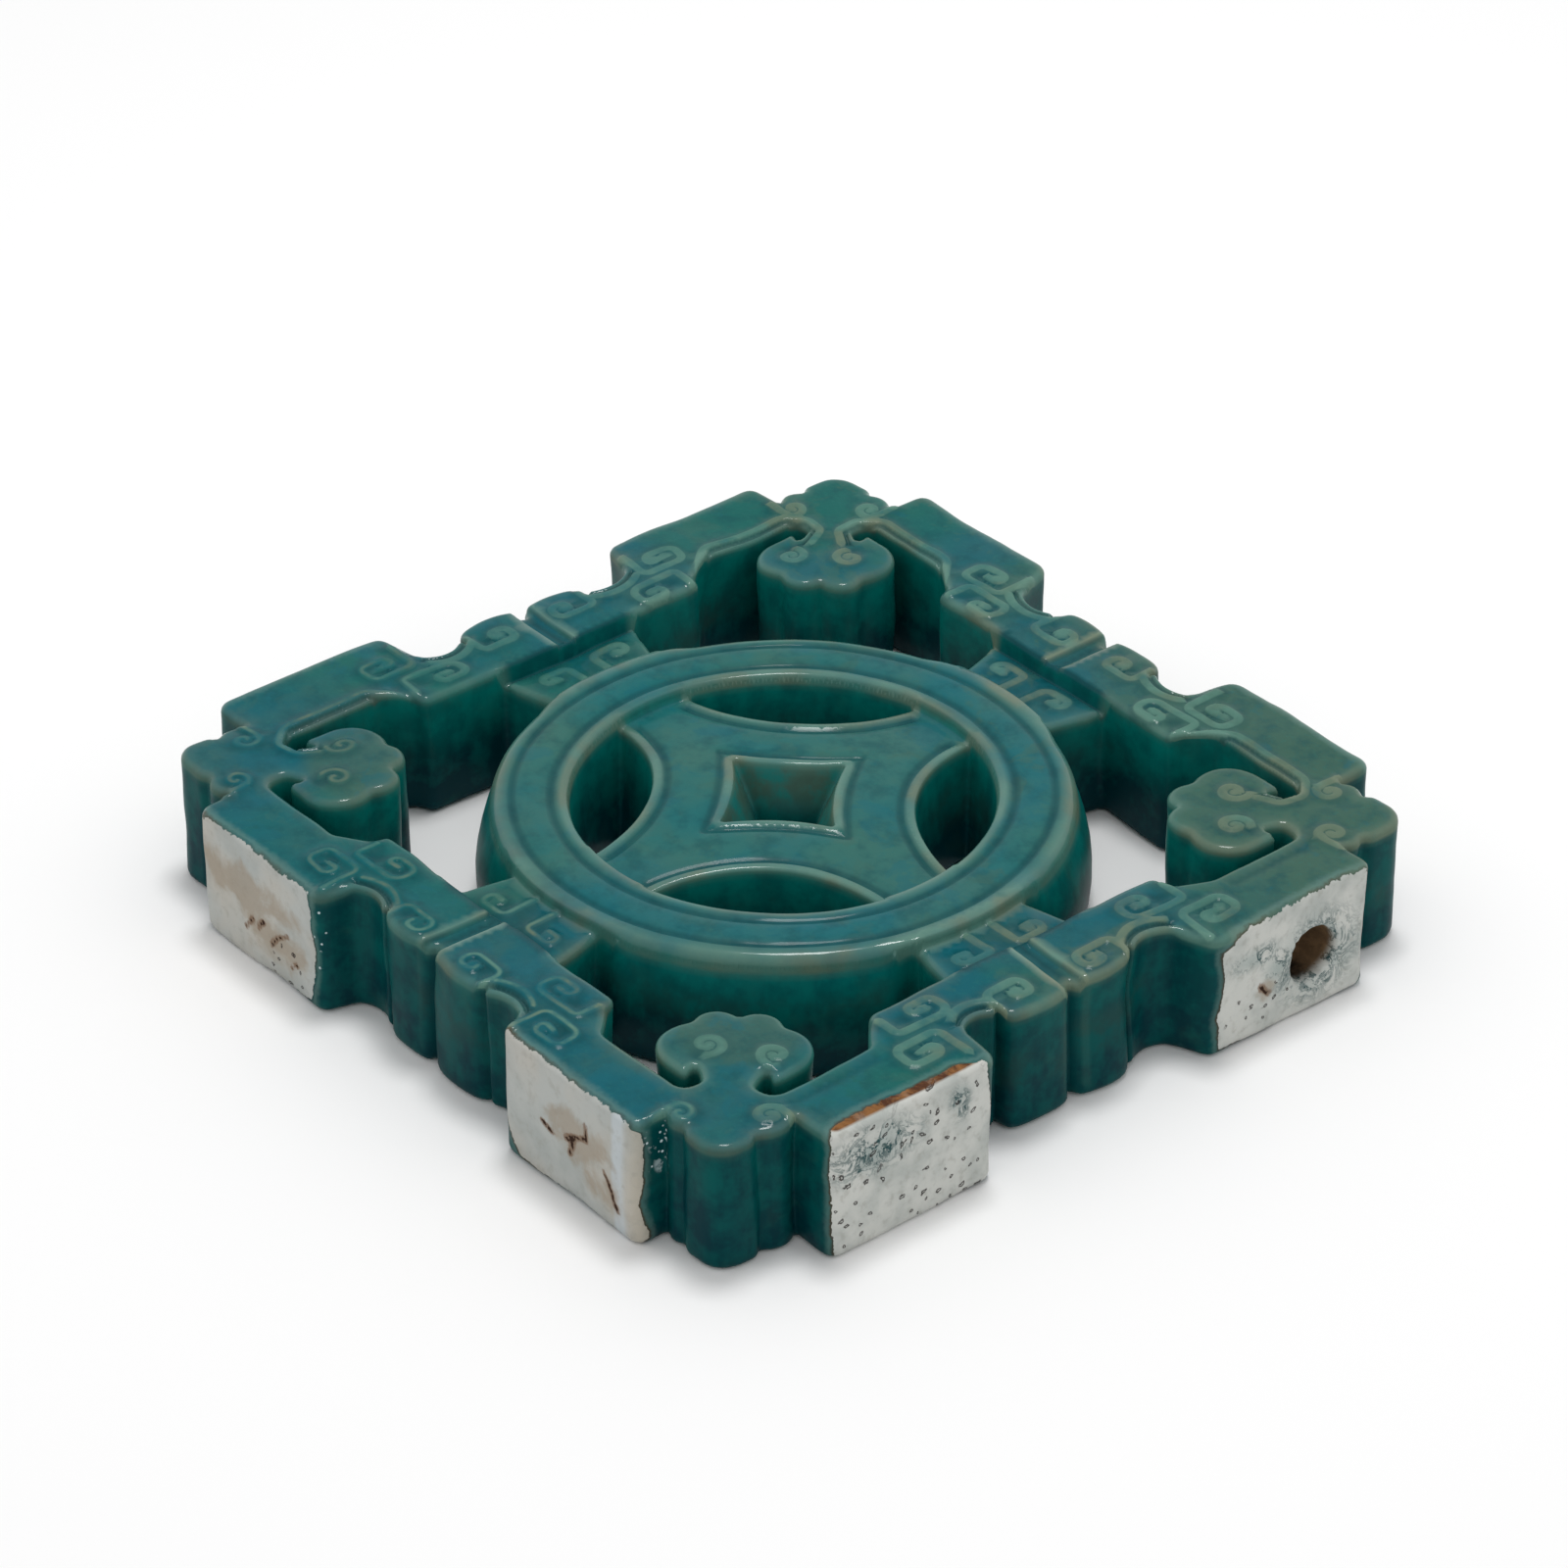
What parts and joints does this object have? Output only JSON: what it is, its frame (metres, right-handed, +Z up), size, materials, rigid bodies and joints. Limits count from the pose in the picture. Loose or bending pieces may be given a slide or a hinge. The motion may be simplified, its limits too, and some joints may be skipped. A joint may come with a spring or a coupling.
{
  "type": "openwork building tile",
  "caption": "Square openwork ceramic tile: a coin ring with a pierced cross in a frame, and ruyi cloud heads growing inwards from the corners.",
  "frame": {"origin": "middle of the tile's underside, by its bounding box", "axes": "+Z up out of the carved top; +X and +Y along the sides, with the kiln hole in the pad that faces +X on its +Y half"},
  "size_m": [0.3076, 0.3014, 0.0455],
  "materials": {
    "teal_glaze": "glossy teal glaze with bare clay on the end faces of the pads"
  },
  "bodies": {
    "root": {"tile": "teal_glaze"}
  },
  "joints": []
}
